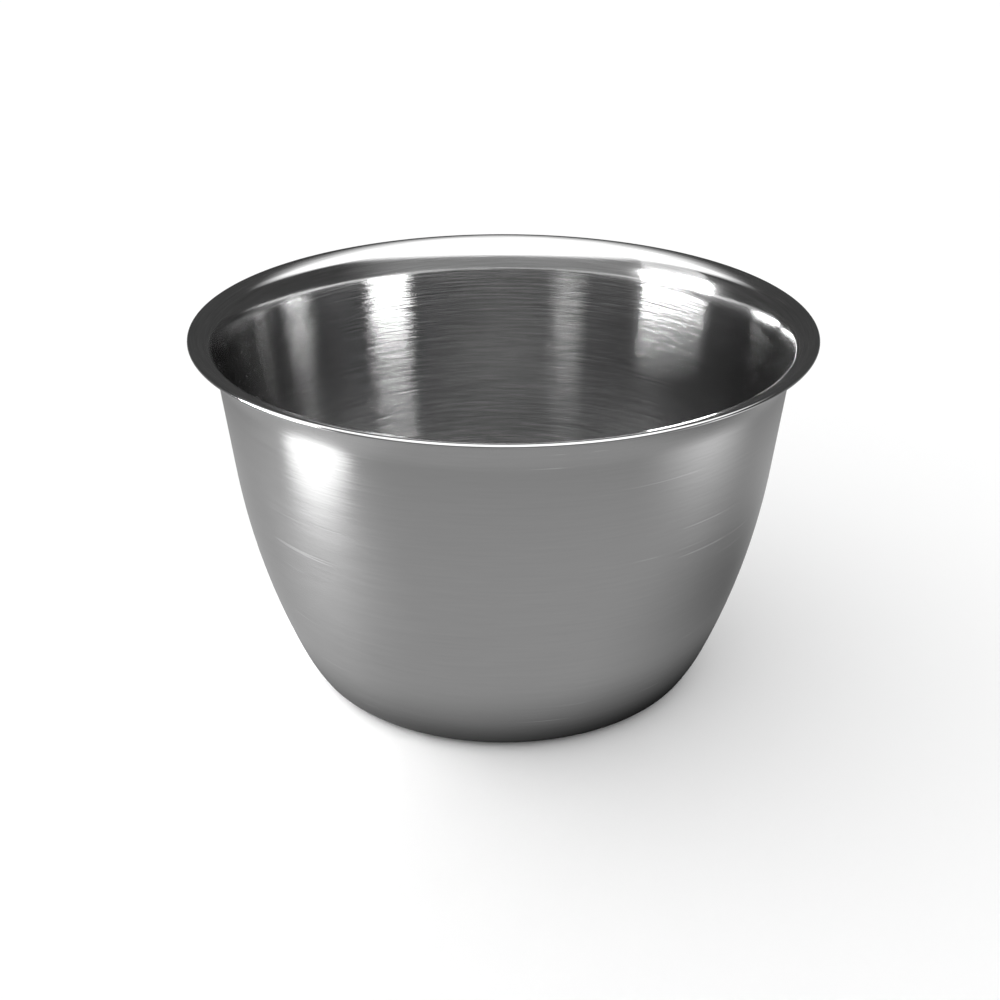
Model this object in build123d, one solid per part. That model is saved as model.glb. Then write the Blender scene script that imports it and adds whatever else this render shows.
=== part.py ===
from build123d import *
from math import atan, cos, degrees, radians, sin
import os

# A one-piece stainless steel cup with a flared rim, for iodine and other
# solutions. It is drawn from one round blank, so it is one solid.
# Units are mm. The cup stands on z = 0, and +Z is its axis of symmetry.

# Overall sizes
rim_diameter = 117.5
height = 70.0
sheet = 0.8

# Base: a flat ring to stand on, round a panel that is pressed up a little
base_radius = 34.4
ring_width = 6.0
panel_rise = 0.5
panel_step_width = 6.0

# Side: three tangent bends, each given by its outside radius and by the
# slope above horizontal that it turns the sheet to
heel_radius = 5.0
heel_slope = 57.0
belly_radius = 36.0
belly_slope = 67.0
side_radius = 138.0
side_slope = 83.0

# Rim: a wide bend opens the side like a trumpet, a tight bend turns it over,
# and the lip curves on until it is nearly level
throat_radius = 14.0
throat_slope = 63.0
flare_radius = 1.5
flare_slope = 21.0
lip_slope = 11.0


def heading(slope):
    """Unit vector that climbs at a slope in degrees, as (outwards, up)."""
    return Vector(cos(radians(slope)), sin(radians(slope)))


def bend_travel(radius, start_slope, end_slope):
    """How far a bend carries the outline while its slope changes."""
    side = 1 if end_slope > start_slope else -1
    outwards = radius * (sin(radians(end_slope)) - sin(radians(start_slope)))
    up = radius * (cos(radians(start_slope)) - cos(radians(end_slope)))
    return Vector(outwards, up) * side


def rim_sizes():
    """Length of straight side and radius of lip that meet the rim's size and height.

    The rounded cut edge is a half circle, so its centre lies half a sheet
    inside the rim diameter and half a sheet below the top. The two unknowns
    are how far to go along the side and how much to scale the lip's bend.
    """
    start = Vector(base_radius, 0)
    start += bend_travel(heel_radius, 0, heel_slope)
    start += bend_travel(belly_radius, heel_slope, belly_slope)
    start += bend_travel(side_radius, belly_slope, side_slope)
    start += bend_travel(throat_radius, side_slope, throat_slope)
    start += bend_travel(flare_radius, throat_slope, flare_slope)
    start += heading(lip_slope + 90) * (sheet / 2)
    edge_centre = Vector(rim_diameter / 2 - sheet / 2, height - sheet / 2)
    gap = edge_centre - start
    side = heading(side_slope)
    lip = bend_travel(1, flare_slope, lip_slope)
    spread = side.X * lip.Y - side.Y * lip.X
    side_length = (gap.X * lip.Y - gap.Y * lip.X) / spread
    lip_radius = (side.X * gap.Y - side.Y * gap.X) / spread
    return side_length, lip_radius


def skin(depth):
    """Outline of the sheet at a depth under its outside face.

    It runs from the axis, along the base and up the side to the lip's end.
    Every bend keeps its centre, so the sheet has the same thickness all over.
    Returns the edges and the end point.
    """
    side_length, lip_radius = rim_sizes()
    step_slope = degrees(2 * atan(panel_rise / panel_step_width))
    step_radius = panel_step_width / (2 * sin(radians(step_slope)))
    panel_radius = base_radius - ring_width - panel_step_width

    edges = []
    point = Vector(0, panel_rise + depth)
    slope = 0.0

    def straight(length):
        nonlocal point
        end = point + heading(slope) * length
        edges.append(Line(point, end))
        point = end

    def bend(outside_radius, end_slope):
        nonlocal point, slope
        towards_inside = end_slope > slope
        radius = outside_radius - depth if towards_inside else outside_radius + depth
        middle = point + bend_travel(radius, slope, (slope + end_slope) / 2)
        end = point + bend_travel(radius, slope, end_slope)
        edges.append(ThreePointArc(point, middle, end))
        point = end
        slope = end_slope

    straight(panel_radius)
    bend(step_radius, -step_slope)
    bend(step_radius, 0.0)
    straight(ring_width)
    bend(heel_radius, heel_slope)
    bend(belly_radius, belly_slope)
    bend(side_radius, side_slope)
    straight(side_length)
    bend(throat_radius, throat_slope)
    bend(flare_radius, flare_slope)
    bend(lip_radius, lip_slope)
    return edges, point


def cup():
    """The sheet's cross-section, turned round the axis."""
    outside, outside_end = skin(0)
    inside, inside_end = skin(sheet)
    edge_middle = (outside_end + inside_end) * 0.5 + heading(lip_slope) * (sheet / 2)
    cut_edge = ThreePointArc(outside_end, edge_middle, inside_end)
    on_axis = Line((0, panel_rise), (0, panel_rise + sheet))
    section = make_face(outside + inside + [cut_edge, on_axis])
    return revolve(Plane.XZ * section, Axis.Z)


os.makedirs("parts", exist_ok=True)
export_step(cup(), "parts/cup.step")
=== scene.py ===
import bpy
from math import atan, cos, degrees, pi, radians, sin, tan
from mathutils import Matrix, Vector


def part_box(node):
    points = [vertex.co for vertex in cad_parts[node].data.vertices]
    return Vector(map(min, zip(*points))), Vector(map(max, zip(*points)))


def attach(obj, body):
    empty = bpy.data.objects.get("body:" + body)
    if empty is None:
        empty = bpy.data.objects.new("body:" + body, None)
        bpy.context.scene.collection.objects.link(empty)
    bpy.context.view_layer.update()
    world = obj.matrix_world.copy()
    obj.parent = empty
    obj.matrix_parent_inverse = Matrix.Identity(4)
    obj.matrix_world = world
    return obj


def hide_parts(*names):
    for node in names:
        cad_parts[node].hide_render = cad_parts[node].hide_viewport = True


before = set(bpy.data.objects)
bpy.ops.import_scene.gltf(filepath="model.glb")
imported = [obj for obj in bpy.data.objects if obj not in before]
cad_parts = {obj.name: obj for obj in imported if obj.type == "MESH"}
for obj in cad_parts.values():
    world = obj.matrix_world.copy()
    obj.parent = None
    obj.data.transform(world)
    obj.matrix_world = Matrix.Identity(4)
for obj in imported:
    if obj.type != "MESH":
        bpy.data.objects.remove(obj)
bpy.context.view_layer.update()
low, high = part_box("cup")

# ---------------------------------------------------------------- sizes (m)
# The rim and the height come from the frame. The rest are the sizes of the
# cup's sheet and bends, the same as in the CAD model. Slopes are in degrees
# above horizontal.
MM = 0.001
rim_radius = (high.x - low.x) / 2
height = high.z - low.z
sheet = 0.8 * MM

base_radius = 34.4 * MM
ring_width = 6.0 * MM
panel_rise = 0.5 * MM
panel_step_width = 6.0 * MM

heel_radius = 5.0 * MM
heel_slope = 57.0
belly_radius = 36.0 * MM
belly_slope = 67.0
side_radius = 138.0 * MM
side_slope = 83.0

throat_radius = 14.0 * MM
throat_slope = 63.0
flare_radius = 1.5 * MM
flare_slope = 21.0
lip_slope = 11.0

# How finely the sheet is divided
TURNS = 360
LONGEST_STEP = 1.5 * MM
LARGEST_BEND_STEP = 4.0
FEWEST_STRAIGHT_STEPS = 2
FEWEST_BEND_STEPS = 6
CUT_EDGE_STEPS = 10

# -------------------------------------------------------------------- looks
# The steel outside the cup, inside it, and on the polished top of the rim. The inside's lower
# reflectance is painted shade: the same steel, darkened for the hollow.
REFLECTANCE = {"outside": 0.60, "inside": 0.44, "rim": 0.62}
ROUGHNESS = {"outside": 0.20, "inside": 0.14, "rim": 0.10}
ANISOTROPY = {"outside": 0.7, "inside": 1.0, "rim": 0.2}
QUARTER_TURN = 0.25

# How strongly the marks show; the pairs are outside and inside, or side and rim
STREAK_CONTRAST = (0.08, 0.38)
SMUDGE_CONTRAST = 0.06
SCRATCH_CONTRAST = 0.3
UNMARKED = 0.97
ROUGHNESS_SPREAD = 0.05
GROOVE_STRENGTH = (0.15, 0.8)
GROOVE_DEPTH = 0.06 * MM
SWAY = 0.06
SWAY_SHARE = (1.0, 0.2)

WHITE = (1, 1, 1, 1)
FLOOR_GREY = (0.9, 0.9, 0.9, 1)


# ------------------------------------------------------------------ outline
def heading(slope):
    """Unit vector that climbs at a slope in degrees, as (outwards, up)."""
    return Vector((cos(radians(slope)), sin(radians(slope))))


def bend_travel(radius, start_slope, end_slope):
    """How far a bend carries the outline while its slope changes."""
    side = 1 if end_slope > start_slope else -1
    outwards = sin(radians(end_slope)) - sin(radians(start_slope))
    up = cos(radians(start_slope)) - cos(radians(end_slope))
    return Vector((outwards, up)) * radius * side


def cut_edge_centre():
    return Vector((rim_radius - sheet / 2, height - sheet / 2))


def rim_sizes():
    """Length of straight side and radius of lip that meet the rim's size and height."""
    start = Vector((base_radius, 0))
    start += bend_travel(heel_radius, 0, heel_slope)
    start += bend_travel(belly_radius, heel_slope, belly_slope)
    start += bend_travel(side_radius, belly_slope, side_slope)
    start += bend_travel(throat_radius, side_slope, throat_slope)
    start += bend_travel(flare_radius, throat_slope, flare_slope)
    start += heading(lip_slope + 90) * sheet / 2
    gap = cut_edge_centre() - start
    side = heading(side_slope)
    lip = bend_travel(1, flare_slope, lip_slope)
    spread = side.x * lip.y - side.y * lip.x
    side_length = (gap.x * lip.y - gap.y * lip.x) / spread
    lip_radius = (side.x * gap.y - side.y * gap.x) / spread
    return side_length, lip_radius


class Skin:
    """One face of the sheet, traced from the axis out to the end of the lip."""

    def __init__(self, depth):
        self.depth = depth
        self.slope = 0.0
        self.points = [Vector((0, panel_rise + depth))]
        self.throat_start = None

    def straight(self, length):
        start = self.points[-1]
        steps = max(FEWEST_STRAIGHT_STEPS, round(length / LONGEST_STEP))
        for i in range(1, steps + 1):
            self.points.append(start + heading(self.slope) * length * i / steps)

    def bend(self, outside_radius, end_slope):
        start = self.points[-1]
        turn = end_slope - self.slope
        radius = outside_radius - self.depth if turn > 0 else outside_radius + self.depth
        by_angle = round(abs(turn) / LARGEST_BEND_STEP)
        by_length = round(radius * radians(abs(turn)) / LONGEST_STEP)
        steps = max(FEWEST_BEND_STEPS, by_angle, by_length)
        for i in range(1, steps + 1):
            slope = self.slope + turn * i / steps
            self.points.append(start + bend_travel(radius, self.slope, slope))
        self.slope = end_slope

    def trace(self):
        side_length, lip_radius = rim_sizes()
        step_slope = 2 * atan(panel_rise / panel_step_width)
        step_radius = panel_step_width / (2 * sin(step_slope))
        self.straight(base_radius - ring_width - panel_step_width)
        self.bend(step_radius, -degrees(step_slope))
        self.bend(step_radius, 0)
        self.straight(ring_width)
        self.bend(heel_radius, heel_slope)
        self.bend(belly_radius, belly_slope)
        self.bend(side_radius, side_slope)
        self.straight(side_length)
        self.throat_start = len(self.points) - 1
        self.bend(throat_radius, throat_slope)
        self.bend(flare_radius, flare_slope)
        self.bend(lip_radius, lip_slope)
        return self.points


def cut_edge():
    """The rounded end of the lip, from its underside to its top."""
    steps = CUT_EDGE_STEPS
    turns = [lip_slope - 90 + 180 * i / steps for i in range(1, steps)]
    return [cut_edge_centre() + heading(turn) * sheet / 2 for turn in turns]


# --------------------------------------------------------------------- mesh
def index(ring, turn):
    """The number of the point on a ring at a turn. Point 0 is on the axis, before them."""
    return 1 + (ring - 1) * TURNS + turn % TURNS


def turned_points(outline):
    """The outline turned round the axis: the points, and the ring each lies on."""
    last_ring = len(outline) - 1
    points = [(0, 0, outline[0].y)]
    rings = [0]
    for ring in range(1, last_ring):
        radius = outline[ring].x
        for turn in range(TURNS):
            angle = 2 * pi * turn / TURNS
            points.append((radius * cos(angle), radius * sin(angle), outline[ring].y))
            rings.append(ring)
    points.append((0, 0, outline[last_ring].y))
    rings.append(last_ring)
    return points, rings


def turned_faces(last_ring):
    """The faces between the rings, and for each corner its share of a turn and its ring."""
    top_ring = last_ring - 1
    last_point = index(last_ring, 0)
    faces = []
    corners = []
    for turn in range(TURNS):
        u0 = turn / TURNS
        u1 = (turn + 1) / TURNS
        middle = (u0 + u1) / 2
        faces.append((0, index(1, turn + 1), index(1, turn)))
        corners.append(((middle, 0), (u1, 1), (u0, 1)))
        for ring in range(1, top_ring):
            faces.append((index(ring, turn), index(ring, turn + 1),
                          index(ring + 1, turn + 1), index(ring + 1, turn)))
            corners.append(((u0, ring), (u1, ring), (u1, ring + 1), (u0, ring + 1)))
        faces.append((last_point, index(top_ring, turn), index(top_ring, turn + 1)))
        corners.append(((middle, last_ring), (u0, top_ring), (u1, top_ring)))
    return faces, corners


def keep_on_points(mesh, label, values):
    mesh.attributes.new(label, "FLOAT", "POINT").data.foreach_set("value", values)


def turned_mesh(name):
    """The sheet's outline turned round the axis, as one closed mesh.

    Three values are kept on the points for the material: how far along the
    sheet a point lies, whether it is inside the cup, and whether it is on
    the polished top of the rim. The UV map has one turn across and the whole
    outline up.
    """
    outside = Skin(0)
    inside = Skin(sheet)
    outline = outside.trace() + cut_edge() + inside.trace()[::-1]
    along = [0.0]
    for before, point in zip(outline, outline[1:]):
        along.append(along[-1] + (point - before).length)
    lip_end = len(outside.points)
    side_top = len(outline) - 1 - inside.throat_start

    points, rings = turned_points(outline)
    faces, corners = turned_faces(len(outline) - 1)
    mesh = bpy.data.meshes.new(name)
    mesh.from_pydata(points, [], faces)
    mesh.shade_smooth()
    uv = mesh.uv_layers.new(name="OFBake")
    flat = [(u, along[ring] / along[-1]) for corner in corners for u, ring in corner]
    uv.data.foreach_set("uv", [value for pair in flat for value in pair])
    keep_on_points(mesh, "along", [along[ring] for ring in rings])
    keep_on_points(mesh, "inside", [float(ring >= lip_end) for ring in rings])
    keep_on_points(mesh, "rim", [float(lip_end <= ring < side_top) for ring in rings])
    mesh.validate()
    return mesh


# --------------------------------------------------------------- directions
def from_front(azimuth, elevation, distance=1.0, centre=Vector((0, 0, 0))):
    """A place seen from the centre; azimuth 0 is the camera's side, +90 is +X."""
    level = distance * cos(radians(elevation))
    return centre + Vector((level * sin(radians(azimuth)), -level * cos(radians(azimuth)),
                            distance * sin(radians(elevation))))


# -------------------------------------------------------------------- nodes
def add(tree, kind, settings=None, **inputs):
    """A node with its settings and inputs; an input is a value or a socket.

    An input is given by its label, or by the letter i and its number.
    """
    node = tree.nodes.new(kind)
    for key, value in (settings or {}).items():
        setattr(node, key, value)
    for key, value in inputs.items():
        label = int(key[1:]) if key[0] == "i" and key[1:].isdigit() else key.replace("_", " ")
        if isinstance(value, bpy.types.NodeSocket):
            tree.links.new(value, node.inputs[label])
        else:
            node.inputs[label].default_value = value
    return node


def maths(tree, operation, a, b=0.0):
    return add(tree, "ShaderNodeMath", {"operation": operation}, i0=a, i1=b).outputs[0]


def product(tree, *factors):
    total = factors[0]
    for factor in factors[1:]:
        total = maths(tree, "MULTIPLY", total, factor)
    return total


def sum_of(tree, base, *terms):
    """base plus each (socket, weight) term, the terms counted from their middle, 0.5."""
    total = base
    for socket, weight in terms:
        centred = maths(tree, "SUBTRACT", socket, 0.5)
        total = maths(tree, "ADD", total, maths(tree, "MULTIPLY", centred, weight))
    return total


def blend(tree, share, a, b):
    """A number that goes from a to b as share goes from 0 to 1."""
    node = add(tree, "ShaderNodeMix", {"data_type": "FLOAT"}, i0=share, i2=a, i3=b)
    return node.outputs[0]


def dimming(tree, share, loss):
    """A factor of 1 where share is 0, and smaller by the loss where share is 1."""
    return maths(tree, "SUBTRACT", 1.0, maths(tree, "MULTIPLY", share, loss))


def fade(tree, value, start, end):
    """0 at start, rising smoothly to 1 at end."""
    node = add(tree, "ShaderNodeMapRange", {"interpolation_type": "SMOOTHSTEP"},
               Value=value, From_Min=start, From_Max=end)
    return node.outputs["Result"]


def vector_maths(tree, operation, a, b=(0, 0, 0)):
    node = add(tree, "ShaderNodeVectorMath", {"operation": operation}, i0=a, i1=b)
    is_number = operation in ("DOT_PRODUCT", "LENGTH")
    return node.outputs["Value" if is_number else "Vector"]


def scaled(tree, vector, scale):
    node = add(tree, "ShaderNodeVectorMath", {"operation": "SCALE"}, i0=vector, Scale=scale)
    return node.outputs["Vector"]


def attribute(tree, label):
    return add(tree, "ShaderNodeAttribute", {"attribute_name": label}).outputs["Fac"]


def noise(tree, place, scale, detail, roughness):
    node = add(tree, "ShaderNodeTexNoise", {"noise_dimensions": "3D"},
               Vector=place, Scale=scale, Detail=detail, Roughness=roughness)
    return node.outputs["Fac"]


def seen_in_steel(tree, elsewhere, mirrored):
    """One shader where the steel mirrors it, and another for everything else."""
    path = add(tree, "ShaderNodeLightPath")
    mix = add(tree, "ShaderNodeMixShader", i0=path.outputs["Is Glossy Ray"],
              i1=elsewhere, i2=mirrored)
    return mix.outputs[0]


def sum_of_lights(tree, kind, radiances):
    """Named white lights of one kind, added up."""
    total = None
    for name, radiance in radiances.items():
        light = add(tree, kind, {"name": name}, Color=WHITE, Strength=radiance).outputs[0]
        if total is None:
            total = light
        else:
            total = add(tree, "ShaderNodeAddShader", i0=total, i1=light).outputs[0]
    return total


def empty_material(name):
    material = bpy.data.materials.new(name)
    material.use_nodes = True
    material.node_tree.nodes.clear()
    return material


# -------------------------------------------------------------------- steel
class Place:
    """Where a point of the steel lies, as sockets."""

    def __init__(self, tree):
        self.along = attribute(tree, "along")
        self.inside = attribute(tree, "inside")
        self.rim = attribute(tree, "rim")
        self.point = add(tree, "ShaderNodeTexCoord").outputs["Object"]
        level = vector_maths(tree, "MULTIPLY", self.point, (1, 1, 0))
        self.outwards = vector_maths(tree, "NORMALIZE", level)
        self.sideways = vector_maths(tree, "CROSS_PRODUCT", (0, 0, 1), self.outwards)


class Marks:
    """The marks on the steel: brush streaks and scratches round it, smudges and speckle."""

    def __init__(self, tree, at):
        self.coarse = ring_streaks(tree, at, length=20 * MM, width=0.5 * MM, seed=1.0)
        self.fine = ring_streaks(tree, at, length=8 * MM, width=0.25 * MM, seed=5.0)
        self.sway = ring_streaks(tree, at, length=12 * MM, width=0.3 * MM, seed=9.0)
        self.smudge = noise(tree, at.point, scale=45.0, detail=4.0, roughness=0.55)
        self.speckle = noise(tree, at.point, scale=2500.0, detail=2.0, roughness=0.6)
        self.hairlines = hairlines(tree, at, self.smudge)


def ring_streaks(tree, at, length, width, seed, detail=2.0):
    """Noise drawn out into streaks round the cup, given by length and width in metres."""
    turn = add(tree, "ShaderNodeSeparateXYZ", i0=scaled(tree, at.outwards, rim_radius / length))
    streak = add(tree, "ShaderNodeCombineXYZ", i0=turn.outputs[0], i1=turn.outputs[1],
                 i2=maths(tree, "MULTIPLY", at.along, 1 / width))
    node = add(tree, "ShaderNodeTexNoise", {"noise_dimensions": "4D"},
               Vector=streak.outputs[0], W=seed, Scale=1.0, Detail=detail, Roughness=0.6)
    return node.outputs["Fac"]


def hairlines(tree, at, patches):
    """A few thin scratches that run round the cup, in patches."""
    streaks = ring_streaks(tree, at, length=30 * MM, width=0.4 * MM, seed=13.0, detail=0.0)
    return product(tree, fade(tree, streaks, 0.74, 0.82), fade(tree, patches, 0.50, 0.60))


def by_face(tree, at, outside, inside, rim):
    """A value that differs outside the cup, inside it and on the top of the rim."""
    return blend(tree, at.rim, blend(tree, at.inside, outside, inside), rim)


def steel_tint(tree, at, marks):
    """The bare grey of each face, with smudges, brush streaks and scratches; the inside's grey
    is darkened as painted shade.
    """
    streaks = sum_of(tree, 0.0, (marks.coarse, 1.0), (marks.fine, 1.0))
    brushing = product(tree, streaks, blend(tree, at.inside, *STREAK_CONTRAST))
    smudged = sum_of(tree, UNMARKED, (marks.smudge, SMUDGE_CONTRAST))
    grain = maths(tree, "ADD", smudged, brushing)
    scratches = product(tree, marks.hairlines, SCRATCH_CONTRAST)
    marked = maths(tree, "ADD", grain, scratches)
    # The inside's lower grey here is painted shade in the hollow.
    shade = product(tree, by_face(tree, at, **REFLECTANCE), marked)
    return add(tree, "ShaderNodeCombineColor", i0=shade, i1=shade, i2=shade).outputs[0]


def steel_roughness(tree, at, marks):
    roughness = by_face(tree, at, **ROUGHNESS)
    for mark in (marks.coarse, marks.fine, marks.smudge):
        roughness = sum_of(tree, roughness, (mark, ROUGHNESS_SPREAD))
    return roughness


def steel_normal(tree, at, marks):
    """Shallow brush grooves, nearly polished away on the rim, that also sway sideways."""
    grooves = sum_of(tree, 0.5, (marks.coarse, 0.6), (marks.fine, 0.4), (marks.smudge, 0.1))
    polished = sum_of(tree, 0.5, (grooves, 0.15), (marks.speckle, 0.06))
    bump = add(tree, "ShaderNodeBump", Strength=blend(tree, at.inside, *GROOVE_STRENGTH),
               Distance=GROOVE_DEPTH, Height=blend(tree, at.rim, grooves, polished))
    sway = sum_of(tree, 0.0, (marks.sway, SWAY))
    swing = product(tree, sway, blend(tree, at.rim, *SWAY_SHARE))
    lean = scaled(tree, at.sideways, swing)
    return vector_maths(tree, "NORMALIZE", vector_maths(tree, "ADD", bump.outputs[0], lean))


def brushed_steel():
    """Steel brushed in rings: satin outside, smoother inside and darkened there as painted
    shade, polished on the rim.
    """
    material = empty_material("brushed_steel")
    tree = material.node_tree
    at = Place(tree)
    marks = Marks(tree, at)
    tangent = add(tree, "ShaderNodeTangent", {"direction_type": "RADIAL", "axis": "Z"})
    surface = add(tree, "ShaderNodeBsdfPrincipled", Metallic=1.0,
                  Base_Color=steel_tint(tree, at, marks),
                  Roughness=steel_roughness(tree, at, marks),
                  Anisotropic=by_face(tree, at, **ANISOTROPY),
                  Anisotropic_Rotation=QUARTER_TURN,
                  Tangent=tangent.outputs[0],
                  Normal=steel_normal(tree, at, marks))
    add(tree, "ShaderNodeOutputMaterial", Surface=surface.outputs[0])
    return material


# -------------------------------------------------------------------- floor
def pool(tree, place, centre, start, end):
    """0 at one distance from a point of the floor and 1 at another, all in mm."""
    middle = (centre[0] * MM, centre[1] * MM, 0)
    away = vector_maths(tree, "LENGTH", vector_maths(tree, "SUBTRACT", place, middle))
    return fade(tree, away, start * MM, end * MM)


def beam(tree, place, azimuth, near, far, half_width):
    """Light on the floor along an azimuth from the cup, growing from near to far, in mm."""
    outwards = from_front(azimuth, 0)
    across = Vector((-outwards.y, outwards.x, 0))
    along = vector_maths(tree, "DOT_PRODUCT", place, outwards)
    aside = maths(tree, "ABSOLUTE", vector_maths(tree, "DOT_PRODUCT", place, across))
    return product(tree, fade(tree, along, near * MM, far * MM),
                   fade(tree, aside, half_width * MM, 0.0))


def table_radiance(tree, place):
    """How bright each spot of the table looks in the steel.

    It is painted, not lit: a painted contact shadow where the cup touches it,
    a painted soft shadow of the cup on the right, and painted dimming further
    out. Painted light falls on it from either side, and in a bright round
    pool on the left.
    """
    # Painted light and shade, not lit: a painted contact shadow, the cup's painted shadow on the
    # right, painted dimming further out, a painted pool of light on the left and painted beams
    # of light from either side.
    contact = pool(tree, place, centre=(3, 0), start=34, end=52)
    shadow = pool(tree, place, centre=(65, 5), start=75, end=0)
    far_off = pool(tree, place, centre=(0, 0), start=110, end=200)
    painted_pool = pool(tree, place, centre=(-152, -63), start=50, end=40)
    left_beam = beam(tree, place, azimuth=-61, near=45, far=85, half_width=50)
    right_beam = beam(tree, place, azimuth=74, near=110, far=170, half_width=90)
    unshaded = dimming(tree, shadow, 0.6)
    near = dimming(tree, far_off, 0.5)
    return {
        "table": product(tree, contact, unshaded, near, 0.42),
        "left_beam": product(tree, left_beam, 0.16),
        "right_beam": right_beam,
        "painted_left_pool": product(tree, painted_pool, 1.7),
    }


def pale_floor():
    """A pale matt floor for the camera, and a darker glowing table as the steel sees it, with
    painted shadows and painted light on it.
    """
    material = empty_material("pale_floor")
    tree = material.node_tree
    place = add(tree, "ShaderNodeTexCoord").outputs["Object"]
    # The steel sees painted shadows and painted light here, as glow.
    table = sum_of_lights(tree, "ShaderNodeEmission", table_radiance(tree, place))
    pale = add(tree, "ShaderNodeBsdfDiffuse", Color=FLOOR_GREY).outputs[0]
    add(tree, "ShaderNodeOutputMaterial", Surface=seen_in_steel(tree, pale, table))
    return material


# -------------------------------------------------------------------- pieces
def build_cup():
    mesh = turned_mesh("steel_cup")
    mesh.materials.append(brushed_steel())
    cup = bpy.data.objects.new("steel_cup", mesh)
    bpy.context.scene.collection.objects.link(cup)
    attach(cup, "root")
    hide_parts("cup")


def build_floor():
    reach = 60 * rim_radius
    mesh = bpy.data.meshes.new("floor")
    corners = [(-reach, -reach, 0), (reach, -reach, 0), (reach, reach, 0), (-reach, reach, 0)]
    mesh.from_pydata(corners, [], [(0, 1, 2, 3)])
    mesh.materials.append(pale_floor())
    floor = bpy.data.objects.new("floor", mesh)
    bpy.context.scene.collection.objects.link(floor)


# -------------------------------------------------------------------- studio
def lamp(name, place, aim, width, tall, radiance):
    """A rectangular light that only the steel sees."""
    light = bpy.data.lights.new(name, "AREA")
    light.shape = "RECTANGLE"
    light.size = width
    light.size_y = tall
    light.energy = radiance * pi * width * tall
    holder = bpy.data.objects.new(name, light)
    holder.location = place
    holder.rotation_euler = (aim - place).to_track_quat("-Z", "Y").to_euler()
    holder.visible_camera = False
    holder.visible_diffuse = False
    bpy.context.scene.collection.objects.link(holder)


def strip(name, azimuth, spread, bottom, top, radiance):
    """An upright light that covers these angles, in degrees, as the rim sees them."""
    reach = 0.8
    foot = reach * tan(radians(bottom))
    head = reach * tan(radians(top))
    width = 2 * reach * tan(radians(spread / 2))
    place = from_front(azimuth, 0, reach, Vector((0, 0, height)))
    place.z += (foot + head) / 2
    aim = Vector((0, 0, place.z))
    lamp(name, place, aim, width, head - foot, radiance)


def light_studio():
    """One tall lamp on the left, bright at the bottom and faint above.

    The steel inside mirrors it up to five times, in narrower and narrower strips.
    """
    bright_top = 15.5
    strip("left_lamp", azimuth=-81, spread=33, bottom=1, top=bright_top, radiance=80.0)
    strip("left_lamp_top", azimuth=-81, spread=33, bottom=bright_top, top=36, radiance=0.8)


def slanted_level(tree, backwards, front_elevation, back_elevation):
    """How high a direction must point to be above a plane slanted up to the back.

    backwards is the direction's own Y. The plane is given by its elevations,
    in degrees, as seen towards the camera and away from it.
    """
    front = radians(front_elevation)
    back = radians(back_elevation)
    rise = (sin(back) - sin(front)) / (cos(back) + cos(front))
    level = sin(front) + rise * cos(front)
    return maths(tree, "ADD", maths(tree, "MULTIPLY", backwards, rise), level)


def light_world():
    """An even white dome for the floor and the camera.

    The steel sees a dim room instead, under a white tent whose edge is low and
    sharp on the camera's side and high and soft at the back. There is a soft
    glow low down on the camera's side.
    """
    world = bpy.data.worlds.new("studio")
    bpy.context.scene.world = world
    world.use_nodes = True
    tree = world.node_tree
    tree.nodes.clear()
    direction = add(tree, "ShaderNodeTexCoord").outputs["Generated"]
    split = add(tree, "ShaderNodeSeparateXYZ", i0=direction)
    tent_edge = slanted_level(tree, split.outputs[1], front_elevation=21, back_elevation=36)
    tent_full = slanted_level(tree, split.outputs[1], front_elevation=28, back_elevation=53)
    tent = fade(tree, split.outputs[2], tent_edge, tent_full)
    towards_front = vector_maths(tree, "DOT_PRODUCT", direction, from_front(0, 10))
    glow_edge = cos(radians(75))
    glow_full = cos(radians(35))
    glow = fade(tree, towards_front, glow_edge, glow_full)
    room = sum_of_lights(tree, "ShaderNodeBackground", {
        "room": 0.07,
        "tent": product(tree, tent, 1.9),
        "front": product(tree, glow, 0.28),
    })
    dome = sum_of_lights(tree, "ShaderNodeBackground", {"dome": 1.15})
    add(tree, "ShaderNodeOutputWorld", Surface=seen_in_steel(tree, dome, room))


def place_camera():
    """The camera looks down past the rim from a little over five rim radii away."""
    distance = 5.5 * rim_radius
    elevation = 19.15
    pitch = 25.09
    aside = 0.011 * rim_radius
    camera = bpy.data.cameras.new("camera")
    camera.sensor_width = 36
    camera.lens = 61.55
    camera.clip_start = 0.01
    holder = bpy.data.objects.new("camera", camera)
    rim_centre = Vector((-aside, 0, height))
    holder.location = from_front(0, elevation, distance, rim_centre)
    holder.rotation_euler = (radians(90 - pitch), 0, 0)
    bpy.context.scene.collection.objects.link(holder)
    bpy.context.scene.camera = holder


build_cup()
build_floor()
light_studio()
light_world()
place_camera()
bpy.context.scene.view_settings.view_transform = "Standard"
bpy.context.scene.cycles.glossy_bounces = 8
